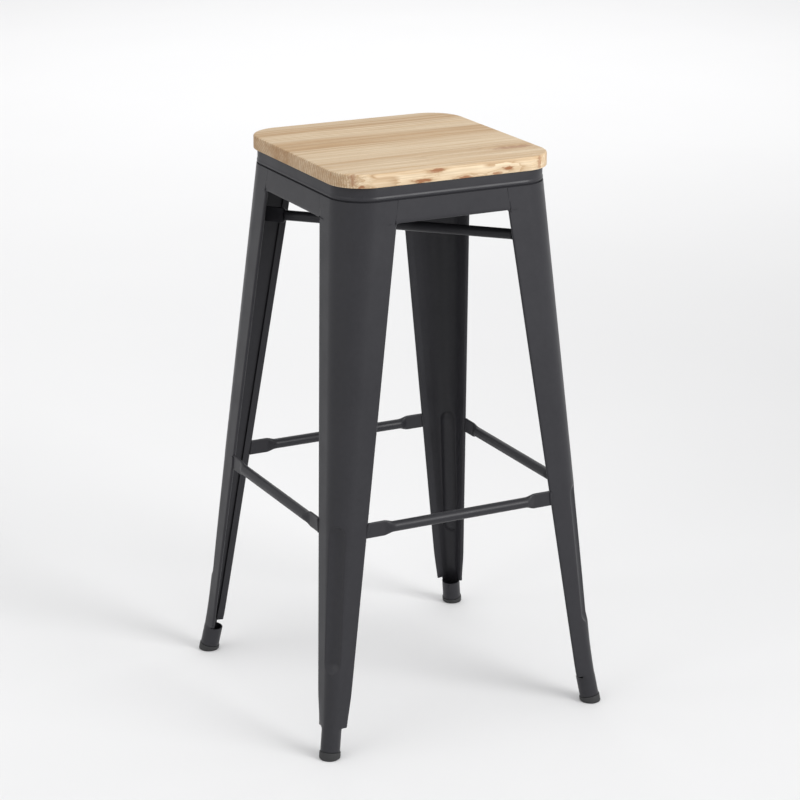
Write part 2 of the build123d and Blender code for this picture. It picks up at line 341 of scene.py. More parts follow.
def place_around(piece, kind, slot, turns):
    """Four turned copies of a piece, each standing for its own CAD node."""
    for side, turn in turns.items():
        place(turned_copy(piece, f"{kind}_{side}_look", turn), slot, f"{kind}_{side}")
    bpy.data.objects.remove(piece)


# --- pressed legs ---
SPLIT_COLUMN = ARC_STEPS + ROLL_STEPS
FLAT_COLUMN = SPLIT_COLUMN + FLAT_STEPS
LAST_COLUMN = FLAT_COLUMN + HEM_STEPS + RETURN_STEPS


def seam_gap(z):
    """The open seam between a leg and an apron, which closes below the top."""
    return SEAM_GAP * (1 - smooth_step((FRAME_TOP - z) / SEAM_FADE))


def hem_point(step):
    """A point around the hem, as its distance past the flat sheet and its depth behind the face."""
    if step <= HEM_STEPS:
        angle = math.pi * step / HEM_STEPS
        return HEM_RADIUS * math.sin(angle), HEM_RADIUS * (1 - math.cos(angle))
    return -HEM_RETURN * (step - HEM_STEPS) / RETURN_STEPS, 2 * HEM_RADIUS


def leg_outline_point(column, z):
    """A point of a leg's outer outline. Column 0 is its corner, and the last one its hem's end."""
    face = face_distance(z)
    edge = edge_distance(z)
    middle = face - corner_radius(z)
    flat_end = edge + HEM_RADIUS
    if column <= ARC_STEPS:
        angle = math.radians(45) * (1 + column / ARC_STEPS)
        return middle + corner_radius(z) * math.cos(angle), middle + corner_radius(z) * math.sin(angle)
    if column <= FLAT_COLUMN:
        low_middle = face_distance(LEG_CUT) - corner_radius(LEG_CUT)
        split = ROLL_ARC_ON_FLAT / (low_middle - edge_distance(LEG_CUT) - HEM_RADIUS)
        if column <= SPLIT_COLUMN:
            share = split * (column - ARC_STEPS) / ROLL_STEPS
        else:
            share = mix(split, 1, (column - SPLIT_COLUMN) / FLAT_STEPS)
        return mix(middle, flat_end, share), face
    past, depth = hem_point(column - FLAT_COLUMN)
    return flat_end - past, face - depth


def pressed_in(along, across, z):
    """The distance along the diagonal after the rib is pressed into the leg's corner."""
    curvature = 1 / corner_radius(z) + 1 / RIB_RADIUS
    axis = apex_distance(z) + RIB_RADIUS - RIB_HALF_WIDTH**2 / 2 * curvature
    end = max(z - (RIB_TOP - RIB_END_REACH), 0.0)
    room = RIB_RADIUS**2 - across**2 - end**2
    if room <= 0 or not RIB_BOTTOM <= z <= RIB_TOP:
        return along
    floor = axis - math.sqrt(room)
    depth = RIB_HALF_WIDTH**2 / 2 * curvature
    below = max(1 - (z - RIB_BOTTOM) / RIB_HALF_MOON, 0.0)
    return soft_min(along, floor + depth * below**RIB_END_CURVE, RIB_SOFTNESS)


def tube_point(angle, z, radius=TUBE_RADIUS):
    """A point on the leaning foot tube. Angle 0 is the stool's outer side, and 180 degrees the seam."""
    out = radius * math.cos(angle) / STRETCH
    return from_diagonal(tube_centre(z - out * TUBE_LEAN) + out, radius * math.sin(angle), z)


def roll_angle(column):
    """Where one of the leg's middle columns lies on the foot tube."""
    if column <= ARC_STEPS:
        return math.radians(45) * column / ARC_STEPS
    return math.radians(45) * (1 + (column - ARC_STEPS) / ROLL_STEPS)


def unrolled_point(column, z):
    """A point of a leg before its foot is rolled: its flanges curl in a little near the bottom."""
    x, y = leg_outline_point(column, z)
    if column == FLAT_COLUMN and z > APRON_BOTTOM - APRON_CORNER:
        x += seam_gap(z) / 2
    flat_start = face_distance(z) - corner_radius(z)
    run = max(flat_start - x, 0) / (flat_start - edge_distance(z))
    if x < y:
        y -= CURL_DEPTH * run * run * smooth_step((CURL_TOP - z) / (CURL_TOP - LEG_CUT))
    along = pressed_in((x + y) / DIAGONAL, (y - x) / DIAGONAL, z) + flare(z)
    return from_diagonal(along, (y - x) / DIAGONAL, z)


def leg_point(column, z):
    point = unrolled_point(column, z)
    rolled = smooth_step((ROLL_TOP - z) / (ROLL_TOP - RIM_HEIGHT))
    if rolled == 0:
        return point
    if column <= SPLIT_COLUMN:
        return point.lerp(tube_point(roll_angle(column), z), rolled)
    pull = tube_point(math.radians(90), z) - unrolled_point(SPLIT_COLUMN, z)
    return point + pull * rolled * (1 - smooth_step((column - SPLIT_COLUMN) / FLAT_STEPS))


def mirrored(point_at, column, z):
    """A column's point, with negative columns mirrored across the diagonal."""
    point = point_at(abs(column), z)
    if column < 0 and point:
        return Vector((point.y, point.x, point.z))
    return point


def leg_rows():
    """A leg from its top to the rolled foot's rim, with its rows closer together where it changes shape."""
    heights = levels(FRAME_TOP - TOP_GAP, (APRON_BOTTOM + 12, 6), (APRON_BOTTOM - APRON_CORNER, 2),
                     (RIB_TOP + 3, 8), (RIB_TOP - RIB_END_REACH - 5, 24), (RIB_BOTTOM + 18, 8),
                     (RIB_BOTTOM - 3, 24), (CURL_TOP, 3), (ROLL_TOP, 9), (LEG_CUT, 3), (RIM_HEIGHT, 5))

    def point_at(column, z):
        if z > APRON_BOTTOM - APRON_CORNER and column > FLAT_COLUMN:
            return None
        if z < LEG_CUT and column > SPLIT_COLUMN:
            return None
        return leg_point(column, z)

    columns = range(-LAST_COLUMN, LAST_COLUMN + 1)
    return [[mirrored(point_at, column, z) for column in columns] for z in heights]


def tube_rows():
    """The rolled foot from its rim to its end, which is cut square to the leaning tube."""
    def point_at(column, row):
        share = row / TUBE_ROWS
        if column <= SPLIT_COLUMN:
            angle = roll_angle(column)
            top = RIM_HEIGHT
        else:
            gap = mix(TUBE_SEAM_GAP, TUBE_SEAM_GAP / 5, smooth_step(2 * share))
            last = math.pi - gap / 2 / TUBE_RADIUS
            angle = mix(math.radians(90), last, (column - SPLIT_COLUMN) / BACK_STEPS)
            top = RIM_HEIGHT + RIM_DIP * math.cos(angle)
        end = TUBE_END + TUBE_RADIUS * math.cos(angle) / STRETCH * TUBE_LEAN
        return tube_point(angle, mix(top, end, share))

    last_column = SPLIT_COLUMN + BACK_STEPS
    columns = range(-last_column, last_column + 1)
    return [[mirrored(point_at, column, row) for column in columns] for row in range(TUBE_ROWS + 1)]


def off_the_closed_seam(middle):
    """False on the welded part of the seams between the legs and the aprons, which stays smooth."""
    if not APRON_BOTTOM - APRON_CORNER <= middle.z <= FRAME_TOP - SEAM_FADE:
        return True
    seam = edge_distance(middle.z) + HEM_RADIUS
    return abs(min(abs(middle.x), abs(middle.y)) - seam) > 1


def make_legs(material):
    bm = bmesh.new()
    add_grid(bm, leg_rows())
    add_grid(bm, tube_rows())
    piece = new_piece("leg_blank", bm, material)
    thicken(piece, LEG_SHEET)
    round_edges(piece, EDGE_BEVEL, off_the_closed_seam)
    place_around(piece, "leg", "frame_steel", LEG_TURNS)


# --- aprons ---
def apron_outline():
    """The right half of the apron's lower outline: where its face ends, and the way into the opening."""
    corner_z = APRON_BOTTOM - APRON_CORNER
    corner_x = edge_distance(corner_z) - APRON_CORNER
    outer = APRON_CORNER + HEM_RADIUS
    outline = []
    for step in range(APRON_STEPS + 1):
        angle = math.radians(90) * step / APRON_STEPS
        way = Vector((-math.cos(angle), -math.sin(angle)))
        outline.append((Vector((corner_x, corner_z)) - way * outer, way))
    for step in range(1, APRON_STEPS + 1):
        outline.append((Vector((mix(corner_x, 0, step / APRON_STEPS), corner_z + outer)), Vector((0, -1))))
    return outline


def apron_column(index, count, start, way):
    """One column of the rear apron: down its face and around its hem."""
    top_z = FRAME_TOP - TOP_GAP
    seam_x = edge_distance(top_z) + HEM_RADIUS
    corner_end = edge_distance(APRON_BOTTOM - APRON_CORNER) - 3 * APRON_CORNER
    top_x = start.x if index > count / 2 else mix(seam_x, corner_end, index / count * 2)
    points = []
    for step in range(APRON_STEPS):
        x = mix(top_x, start.x, step / APRON_STEPS)
        z = mix(top_z, start.y, step / APRON_STEPS)
        if index == 0:
            x = edge_distance(z) + HEM_RADIUS - seam_gap(z) / 2
        points.append(Vector((x, face_distance(z), z)))
    for step in range(HEM_STEPS + RETURN_STEPS + 1):
        past, depth = hem_point(step)
        flat = start + way * past
        points.append(Vector((flat.x, face_distance(flat.y) - depth, flat.y)))
    return points


def make_aprons(material):
    outline = apron_outline()
    right = [apron_column(index, len(outline) - 1, *point) for index, point in enumerate(outline)]
    left = [[Vector((-point.x, point.y, point.z)) for point in column] for column in right[:-1]]
    columns = left + right[::-1]
    bm = bmesh.new()
    add_grid(bm, [list(row) for row in zip(*columns)][::-1])
    piece = new_piece("apron_blank", bm, material)
    thicken(piece, LEG_SHEET)
    round_edges(piece, EDGE_BEVEL, off_the_closed_seam)
    place_around(piece, "apron", "frame_steel", SIDE_TURNS)


# --- seat pan and boards ---
def square_ring(half, radius, z):
    """Points around a rounded square."""
    points = []
    middle = half - radius
    for quarter in range(4):
        turn = Matrix.Rotation(math.radians(90) * quarter, 2)
        for step in range(CORNER_STEPS + 1):
            angle = math.radians(90) * step / CORNER_STEPS
            flat = turn @ Vector((middle + radius * math.cos(angle), middle + radius * math.sin(angle)))
            points.append(Vector((flat.x, flat.y, z)))
    return points


def pan_profile():
    """The pan's outer profile from its top edge down, as (half width, height) points."""
    half = face_distance(FRAME_TOP) - LEG_SHEET
    flared = half + PAN_FLARE
    lip = FRAME_TOP + PAN_LIP_GAP
    profile = [(half - inset, SEAT_UNDERSIDE - drop) for inset, drop in quarter_arc(PAN_TOP_BEND, 4)]
    for step in range(PAN_FLARE_STEPS + 1):
        share = step / PAN_FLARE_STEPS
        height = lip + PAN_LIP_HEIGHT + PAN_FLARE_HEIGHT * (1 - share)
        profile.append((half + PAN_FLARE * smooth_step(share), height))
    profile += [(flared + out, lip + up) for out, up in PAN_LIP_EDGE]
    profile += [(half + out, lip + up) for out, up in PAN_LIP_STEP]
    profile.append((half + PAN_LIP_STEP[-1][0], FRAME_TOP - PAN_STEP_DEPTH))
    profile.append((face_distance(PAN_BOTTOM) - LEG_SHEET - PAN_CLEARANCE, PAN_BOTTOM))
    return profile


def make_pan(material):
    corner = corner_radius(FRAME_TOP) - LEG_SHEET
    half = face_distance(FRAME_TOP) - LEG_SHEET
    bm = bmesh.new()
    add_rings(bm, [square_ring(width, corner + width - half, z) for width, z in pan_profile()], end_cap=False)
    piece = new_piece("seat_pan_look", bm, material)
    thicken(piece, PAN_SHEET)
    round_edges(piece, EDGE_BEVEL / 2)
    place(piece, "frame_steel", "seat_pan")


def slab_rings():
    """The whole seat as rings, from its underside to its top."""
    profile = [(inset, SEAT_UNDERSIDE + rise) for inset, rise in quarter_arc(BOARD_BOTTOM_ROUNDING, 3)]
    profile += [(inset, SEAT_TOP - drop) for drop, inset in quarter_arc(BOARD_TOP_ROUNDING, 6)]
    return [square_ring(SEAT_HALF - inset, SEAT_CORNER_RADIUS - inset, z) for inset, z in profile]


def cut_away(bm, y, side):
    """Cuts a bmesh at a Y and closes the cut. Side is +1 to lose what is beyond it, or -1 below it."""
    geometry = bm.verts[:] + bm.edges[:] + bm.faces[:]
    cut = bmesh.ops.bisect_plane(bm, geom=geometry, dist=1e-8, plane_co=(0, y * MM, 0),
                                 plane_no=(0, side, 0), clear_outer=True)
    edges = [item for item in cut["geom_cut"] if isinstance(item, bmesh.types.BMEdge)]
    bmesh.ops.contextual_create(bm, geom=edges)


def make_boards():
    joints = [None, -INNER_BOARD_WIDTH, 0, INNER_BOARD_WIDTH, None]
    for index, name in enumerate(["front", "middle_front", "middle_rear", "rear"]):
        bm = bmesh.new()
        add_rings(bm, slab_rings())
        bmesh.ops.recalc_face_normals(bm, faces=bm.faces)
        if joints[index] is not None:
            cut_away(bm, joints[index], -1)
        if joints[index + 1] is not None:
            cut_away(bm, joints[index + 1], 1)
        piece = new_piece(f"seat_board_{name}_look", bm, wood(name))
        round_edges(piece, GLUE_LINE_BEVEL)
        place(piece, "seat_wood", f"seat_board_{name}")


# --- footrest bars and braces ---
def flat_outline(share):
    """A point around the flattened end's section, as (depth, height)."""
    straight = FLAT_HEIGHT - FLAT_THICKNESS
    radius = FLAT_THICKNESS / 2
    around = 2 * straight + 2 * math.pi * radius
    distance = (share % 1) * around
    lead = math.pi * radius / 2
    if distance < lead or distance > around - lead:
        angle = distance / radius if distance < lead else (distance - around) / radius
        return radius * math.sin(angle), straight / 2 + radius * math.cos(angle)
    distance -= lead
    if distance < straight:
        return radius, straight / 2 - distance
    distance -= straight
    if distance < 2 * lead:
        angle = distance / radius
        return radius * math.cos(angle), -straight / 2 - radius * math.sin(angle)
    distance -= 2 * lead
    return -radius, distance - straight / 2


def bar_ring(x, flatness, depth, height, end_at=None):
    """A ring of a bar along X that is partly pressed flat. end_at gives X from the height instead."""
    points = []
    for index in range(ROUND_STEPS):
        share = index / ROUND_STEPS
        angle = 2 * math.pi * share
        flat_y, flat_z = flat_outline(share)
        y = depth + mix(BAR_RADIUS * math.sin(angle), flat_y, flatness)
        z = height + mix(BAR_RADIUS * math.cos(angle), flat_z, flatness)
        points.append(Vector((end_at(z) if end_at else x, y, z)))
    return points


def bar_bmesh(depth, height, flat_start, flattening, end_at):
    """A bar with both ends pressed flat, from one end's cut to the other's."""
    half = []
    tube_end = flat_start - flattening
    for step in range(BAR_FLATTENING_STEPS + 1):
        share = step / BAR_FLATTENING_STEPS
        half.append((mix(tube_end, flat_start, share), smooth_step(share)))
    rings = [bar_ring(x, flatness, depth, height) for x, flatness in [(0, 0)] + half]
    rings.append(bar_ring(0, 1, depth, height, end_at))
    other = [[Vector((-point.x, point.y, point.z)) for point in ring] for ring in rings[:0:-1]]
    bm = bmesh.new()
    add_rings(bm, other + rings)
    bmesh.ops.recalc_face_normals(bm, faces=bm.faces)
    return bm


def make_footrests(material):
    depth = face_distance(FOOTREST_HEIGHT) - FOOTREST_INSET
    piece = new_piece("footrest_blank", bar_bmesh(depth, FOOTREST_HEIGHT, FOOTREST_FLAT_START, FLATTENING,
                                                   edge_distance), material)
    round_edges(piece, EDGE_BEVEL)
    place_around(piece, "footrest_bar", "frame_steel", SIDE_TURNS)


def make_braces(material):
    def inside_the_corner(z):
        return apex_distance(z) - LEG_SHEET

    upper_height = BRACE_HEIGHT + 2 * BAR_RADIUS + BRACE_GAP
    for name, height, degrees in (("brace_lower", BRACE_HEIGHT, -45), ("brace_upper", upper_height, 45)):
        bm = bar_bmesh(0, height, BRACE_FLAT_START, BRACE_FLATTENING, inside_the_corner)
        turn = Matrix.Rotation(math.radians(degrees), 3, "Z")
        bmesh.ops.rotate(bm, verts=bm.verts, cent=(0, 0, 0), matrix=turn)
        piece = new_piece(f"{name}_look", bm, material)
        round_edges(piece, EDGE_BEVEL)
        place(piece, "frame_steel", name)


# --- rubber feet ---
def foot_rings():
    """A rubber foot from its plug's top down to its level base."""
    def leaning_ring(radius, axis_z):
        ring = []
        for index in range(ROUND_STEPS):
            angle = 2 * math.pi * index / ROUND_STEPS
            out = radius * math.cos(angle) / STRETCH
            ring.append(from_diagonal(tube_centre(axis_z) + out, radius * math.sin(angle),
                                      axis_z + out * TUBE_LEAN))
        return ring

    def level_ring(radius, centre_z, z):
        ring = []
        for index in range(ROUND_STEPS):
            angle = 2 * math.pi * index / ROUND_STEPS
            ring.append(from_diagonal(tube_centre(centre_z) + radius * math.cos(angle) * STRETCH,
                                      radius * math.sin(angle), z))
        return ring

    top = TUBE_END - FOOT_GROOVE
    rings = [leaning_ring(PLUG_RADIUS, TUBE_END + 4), leaning_ring(PLUG_RADIUS, top)]
    for inset, drop in quarter_arc(FOOT_TOP_ROUNDING, 3):
        rings.append(leaning_ring(FOOT_RADIUS - inset, top - drop))
    for height, inset in quarter_arc(FOOT_ROUNDING, 5):
        rings.append(level_ring(FOOT_RADIUS - inset, FOOT_ROUNDING, height))
    return rings


def make_feet(material):
    bm = bmesh.new()
    add_rings(bm, foot_rings())
    bmesh.ops.recalc_face_normals(bm, faces=bm.faces)
    piece = new_piece("foot_blank", bm, material)
    round_edges(piece, FOOT_GROOVE / 4)
    place_around(piece, "rubber_foot", "foot_rubber", LEG_TURNS)


# --- screws ---
def screw_places():
    inner = INNER_BOARD_WIDTH / 2
    outer = INNER_BOARD_WIDTH + SCREW_EDGE_DISTANCE
    side = SCREW_SPACING_X / 2
    return [(x, y) for y in (-outer, -inner, inner, outer) for x in (-side, side)]


def screw_head_height(x, y):
    """How far a screw's domed head stands down at a place, with its cross recess."""
    distance = math.hypot(x, y)
    dome = SCREW_HEAD_HEIGHT * (1 - SCREW_DOME_SHARE * (distance / SCREW_HEAD_RADIUS) ** 2)
    arm = max(min(abs(x), abs(y)) - RECESS_HALF_WIDTH, distance - RECESS_REACH)
    depth = RECESS_DEPTH * smooth_step(0.5 - arm / RECESS_EDGE)
    return dome - depth * (1 - RECESS_TAPER * distance / RECESS_REACH)


def add_screw(bm, x, y, turn):
    top = SEAT_UNDERSIDE - PAN_SHEET
    rings = []
    for step in range(SCREW_STEPS + 1):
        radius = SCREW_HEAD_RADIUS * (1 - step / (SCREW_STEPS + 1))
        ring = []
        for index in range(ROUND_STEPS):
            angle = 2 * math.pi * index / ROUND_STEPS
            local_x = radius * math.cos(angle)
            local_y = radius * math.sin(angle)
            drop = 0 if step == 0 else screw_head_height(local_x, local_y)
            across = radius * math.cos(angle + turn)
            along = radius * math.sin(angle + turn)
            ring.append(Vector((x + across, y + along, top - drop)))
        rings.append(ring)
    add_rings(bm, rings)


def make_screws(material):
    bm = bmesh.new()
    for index, (x, y) in enumerate(screw_places()):
        add_screw(bm, x, y, SCREW_TURN * index)
    bmesh.ops.recalc_face_normals(bm, faces=bm.faces)
    piece = new_piece("seat_screws_look", bm, material)
    place(piece, "screw_steel", "seat_screws")


# --- materials ---
COAT_DARK = (0.0222, 0.0219, 0.0254, 1)
COAT_LIGHT = (0.0272, 0.0268, 0.0308, 1)
RUBBER_DARK = (0.016, 0.016, 0.017, 1)
RUBBER_LIGHT = (0.028, 0.028, 0.029, 1)
ZINC_BLUE = (0.50, 0.51, 0.54, 1)
ZINC_YELLOW = (0.62, 0.60, 0.56, 1)
FLOOR_DARK = (0.80, 0.80, 0.805, 1)
FLOOR_LIGHT = (0.82, 0.82, 0.825, 1)
WHITE = (1, 1, 1, 1)
# Most of a noise lies between these.
NOISE_LOW = 0.3
NOISE_HIGH = 0.7


def new_material(name):
    """A material, its node tree and its shader."""
    material = bpy.data.materials.new(name)
    material.use_nodes = True
    tree = material.node_tree
    return material, tree, tree.nodes["Principled BSDF"]


def add_node(tree, kind, inputs=None, **settings):
    """A node with its settings, and its inputs set to values or linked to other nodes' outputs."""
    node = tree.nodes.new(kind)
    for setting, value in settings.items():
        setattr(node, setting, value)
    for socket, value in (inputs or {}).items():
        if isinstance(value, bpy.types.NodeSocket):
            tree.links.new(value, node.inputs[socket])
        else:
            node.inputs[socket].default_value = value
    return node


def position(tree):
    return add_node(tree, "ShaderNodeTexCoord").outputs["Object"]


def stretched(tree, scale, offset=(0, 0, 0)):
    """The position scaled along each axis, for patterns that are longer one way."""
    return add_node(tree, "ShaderNodeMapping", {"Vector": position(tree), "Scale": scale, "Location": offset},
                    vector_type="POINT").outputs["Vector"]


def noise(tree, vector, scale, detail=2.0, roughness=0.5):
    inputs = {"Vector": vector, "Scale": scale, "Detail": detail, "Roughness": roughness}
    return add_node(tree, "ShaderNodeTexNoise", inputs).outputs["Fac"]


def math_node(tree, operation, first, second=0.0):
    node = add_node(tree, "ShaderNodeMath", {0: first, 1: second}, operation=operation)
    return node.outputs[0]


def ranged(tree, value, low, high, to_low=0.0, to_high=1.0, smooth=False):
    kind = "SMOOTHSTEP" if smooth else "LINEAR"
    return add_node(tree, "ShaderNodeMapRange",
                    {"Value": value, "From Min": low, "From Max": high, "To Min": to_low, "To Max": to_high},
                    interpolation_type=kind).outputs["Result"]


def noise_range(tree, value, to_low, to_high):
    """A noise with its usual span stretched over a range."""
    return ranged(tree, value, NOISE_LOW, NOISE_HIGH, to_low, to_high)


def mixed(tree, share, first, second, blend="MIX"):
    node = add_node(tree, "ShaderNodeMix", data_type="RGBA", blend_type=blend)
    for index, value in ((0, share), (6, first), (7, second)):
        if isinstance(value, bpy.types.NodeSocket):
            tree.links.new(value, node.inputs[index])
        else:
            node.inputs[index].default_value = value
    return node.outputs[2]


def bumped(tree, shader, height, strength, distance):
    bump = add_node(tree, "ShaderNodeBump", {"Height": height, "Strength": strength, "Distance": distance})
    tree.links.new(bump.outputs["Normal"], shader.inputs["Normal"])


def powder_coat():
    """Dark grey satin powder coat, with orange peel and slight changes of tone and gloss."""
    material, tree, shader = new_material("powder_coat")
    place_in = position(tree)
    cloud = noise(tree, place_in, 9, 3)
    mottle = noise(tree, place_in, 140, 2)
    tone = math_node(tree, "ADD", noise_range(tree, cloud, 0, 0.6), noise_range(tree, mottle, 0, 0.4))
    colour = mixed(tree, tone, COAT_DARK, COAT_LIGHT)
    tree.links.new(colour, shader.inputs["Base Color"])
    shader.inputs["Specular IOR Level"].default_value = 0.24
    rough = noise_range(tree, noise(tree, place_in, 30, 4), 0.34, 0.43)
    tree.links.new(rough, shader.inputs["Roughness"])
    peel = noise(tree, place_in, 750, 1)
    grit = noise(tree, place_in, 2600, 1)
    height = math_node(tree, "ADD", peel, math_node(tree, "MULTIPLY", grit, 0.35))
    bumped(tree, shader, height, 0.35, 0.00006)
    return material


def rubber():
    """Black moulded rubber, matte, with a fine grain."""
    material, tree, shader = new_material("foot_rubber")
    place_in = position(tree)
    cloud = noise(tree, place_in, 60, 3)
    colour = mixed(tree, cloud, RUBBER_DARK, RUBBER_LIGHT)
    tree.links.new(colour, shader.inputs["Base Color"])
    tree.links.new(noise_range(tree, cloud, 0.62, 0.75), shader.inputs["Roughness"])
    bumped(tree, shader, noise(tree, place_in, 1800, 2), 0.4, 0.00008)
    return material


def zinc():
    """Bright zinc plating with a slight yellow-blue cast and fine scratches."""
    material, tree, shader = new_material("screw_zinc")
    place_in = position(tree)
    cloud = noise(tree, place_in, 300, 2)
    colour = mixed(tree, cloud, ZINC_BLUE, ZINC_YELLOW)
    tree.links.new(colour, shader.inputs["Base Color"])
    shader.inputs["Metallic"].default_value = 1
    tree.links.new(noise_range(tree, cloud, 0.28, 0.42), shader.inputs["Roughness"])
    bumped(tree, shader, noise(tree, stretched(tree, (1, 6, 1)), 900, 2), 0.25, 0.00004)
    return material


# For each board: where its log's centre lies across and above the board, in metres, how far apart
# its rings are, how far its pattern is shifted along the grain, and its tone from 0, pale, to 1.
BOARDS = {
    "front": {"heart": (-0.092, 0.747), "ring": 0.0036, "shift": 0.31, "tone": 0.23},
    "middle_front": {"heart": (-0.300, 0.690), "ring": 0.0046, "shift": 1.27, "tone": 0.20},
    "middle_rear": {"heart": (0.150, 0.660), "ring": 0.0042, "shift": 2.11, "tone": 0.30},
    "rear": {"heart": (0.020, 0.715), "ring": 0.0040, "shift": 3.43, "tone": 0.28},
}
WOOD_PALE = (0.715, 0.595, 0.425, 1)
WOOD_BROWN = (0.443, 0.282, 0.140, 1)
WOOD_RING = (0.35, 0.205, 0.096, 1)
WOOD_KNOT = (0.25, 0.090, 0.030, 1)
END_GRAIN = (0.80, 0.76, 0.73, 1)

# Broad bands along the grain, in millimetres: middle, half width and how much darker they are.
BANDS = [
    (122, 17, 0.28), (71, 17, -0.16), (30, 24, 0.34),
    (-40, 26, -0.10), (-87, 15, 0.16), (-132, 18, -0.10),
]

# Knots, in millimetres: board, middle, half sizes and strength.
KNOTS = [
    ("front", (-25, -155, 756), (10, 9, 3.2), 0.90),
    ("front", (-47, -155, 745), (13, 9, 2.6), 0.85),
    ("front", (17, -155, 743.5), (13, 9, 2.4), 0.85),
    ("front", (79, -155, 749), (10, 9, 3.2), 0.90),
    ("front", (62, -155, 744), (9, 9, 1.8), 0.75),
    ("front", (-129, -155, 744), (6, 9, 3.2), 0.80),
    ("front", (-139, -150, 751), (5, 12, 15), 0.55),
    ("front", (126, -152, 751), (3.8, 10, 15), 0.55),
    ("middle_front", (124, -93, 759), (34, 8, 6), 0.55),
]
KNOT_SWIRL = 0.0035
END_RING_SHARE = 0.55
GLUE_LINE_HALF_WIDTH = 0.0006
GLUE_LINE_SHARE = 0.45


def vector_math(tree, operation, first, second=(0, 0, 0), output="Vector"):
    return add_node(tree, "ShaderNodeVectorMath", {0: first, 1: second}, operation=operation).outputs[output]


def wandering(tree, board):
    """The position with a slow wander across the grain, so that lines along the board wave a little."""
    slow = stretched(tree, (4, 12, 12), (board["shift"], 0, 0))
    drift = add_node(tree, "ShaderNodeTexNoise", {"Vector": slow, "Scale": 1.0, "Detail": 3.0})
    centred = vector_math(tree, "SUBTRACT", drift.outputs["Color"], (0.5, 0.5, 0.5))
    return vector_math(tree, "ADD", position(tree), vector_math(tree, "MULTIPLY", centred, (0, 0.016, 0.012)))


def knot_distance(tree, centre, half_sizes, wobble):
    """The distance from a knot's middle, which is 1 at its uneven edge."""
    apart = vector_math(tree, "SUBTRACT", position(tree), [value * MM for value in centre])
    scaled = vector_math(tree, "MULTIPLY", apart, [1 / (size * MM) for size in half_sizes])
    return math_node(tree, "ADD", vector_math(tree, "LENGTH", scaled, output="Value"), wobble)


def ring_phase(tree, board, place_in, swirl):
    """How many growth rings lie between a point and the log's heart."""
    from_heart = vector_math(tree, "SUBTRACT", place_in, (board["shift"], *board["heart"]))
    flattened = vector_math(tree, "MULTIPLY", from_heart, (0.018, 1, 1))
    distance = vector_math(tree, "LENGTH", flattened, output="Value")
    return math_node(tree, "DIVIDE", math_node(tree, "ADD", distance, swirl), board["ring"])


def late_wood(tree, phase):
    """Each ring darkens slowly, then quickly turns pale again."""
    ramp = add_node(tree, "ShaderNodeValToRGB", {"Fac": math_node(tree, "FRACT", phase)})
    stops = ramp.color_ramp.elements
    stops[0].color = (0.05, 0.05, 0.05, 1)
    stops[1].color = (0.05, 0.05, 0.05, 1)
    for place_at, value in ((0.40, 0.15), (0.70, 0.45), (0.88, 1.0)):
        stop = stops.new(place_at)
        stop.color = (value, value, value, 1)
    return ramp.outputs["Color"]


def band_darkness(tree, place_in):
    """How much darker the broad bands make a point."""
    across = add_node(tree, "ShaderNodeSeparateXYZ", {"Vector": place_in}).outputs["Y"]
    darkness = 0.0
    for middle, half_width, darker in BANDS:
        apart = math_node(tree, "ABSOLUTE", math_node(tree, "SUBTRACT", across, middle * MM))
        band = ranged(tree, apart, half_width * 1.3 * MM, half_width * 0.6 * MM, 0, darker, smooth=True)
        darkness = math_node(tree, "ADD", darkness, band)
    return darkness


def glue_line(tree):
    """How strongly the glue shows, which is only right beside a joint between two boards."""
    across = add_node(tree, "ShaderNodeSeparateXYZ", {"Vector": position(tree)}).outputs["Y"]
    from_middle = math_node(tree, "ABSOLUTE", across)
    from_outer = math_node(tree, "ABSOLUTE", math_node(tree, "SUBTRACT", from_middle, INNER_BOARD_WIDTH * MM))
    nearest = math_node(tree, "MINIMUM", from_middle, from_outer)
    return ranged(tree, nearest, GLUE_LINE_HALF_WIDTH * 2, GLUE_LINE_HALF_WIDTH, 0, GLUE_LINE_SHARE)


def board_knots(tree, name):
    """How strongly each of a board's knots shows, and how far together they push its rings aside."""
    wobble = noise_range(tree, noise(tree, stretched(tree, (90, 260, 420)), 1, 3, 0.6), -0.5, 0.5)
    knots = []
    swirl = 0.0
    for knot_board, centre, half_sizes, strength in KNOTS:
        if knot_board == name:
            distance = knot_distance(tree, centre, half_sizes, wobble)
            knots.append(ranged(tree, distance, 1.15, 0.55, 0, strength, smooth=True))
            push = ranged(tree, distance, 3.2, 0.4, 0, KNOT_SWIRL, smooth=True)
            swirl = math_node(tree, "ADD", swirl, push)
    return knots, swirl


def ground_colour(tree, board, place_in):
    """A board's colour under its rings: its own tone, broad clouds, fine lines and bands."""
    broad = noise(tree, stretched(tree, (1.6, 34, 34), (board["shift"], 0, 0)), 1, 2, 0.5)
    lines = noise(tree, vector_math(tree, "MULTIPLY", place_in, (3, 170, 170)), 1, 3, 0.7)
    darkness = math_node(tree, "ADD", board["tone"], noise_range(tree, broad, 0, 0.26))
    darkness = math_node(tree, "ADD", darkness, ranged(tree, lines, 0.32, 0.68, -0.30, 0.42))
    darkness = math_node(tree, "ADD", darkness, band_darkness(tree, place_in))
    return mixed(tree, darkness, WOOD_PALE, WOOD_BROWN)


def end_grain(tree):
    """How far a face is a board's sawn end, which lies across the grain."""
    normal = add_node(tree, "ShaderNodeNewGeometry").outputs["Normal"]
    along = add_node(tree, "ShaderNodeSeparateXYZ", {"Vector": normal}).outputs["X"]
    return ranged(tree, math_node(tree, "ABSOLUTE", along), 0.55, 0.95, smooth=True)


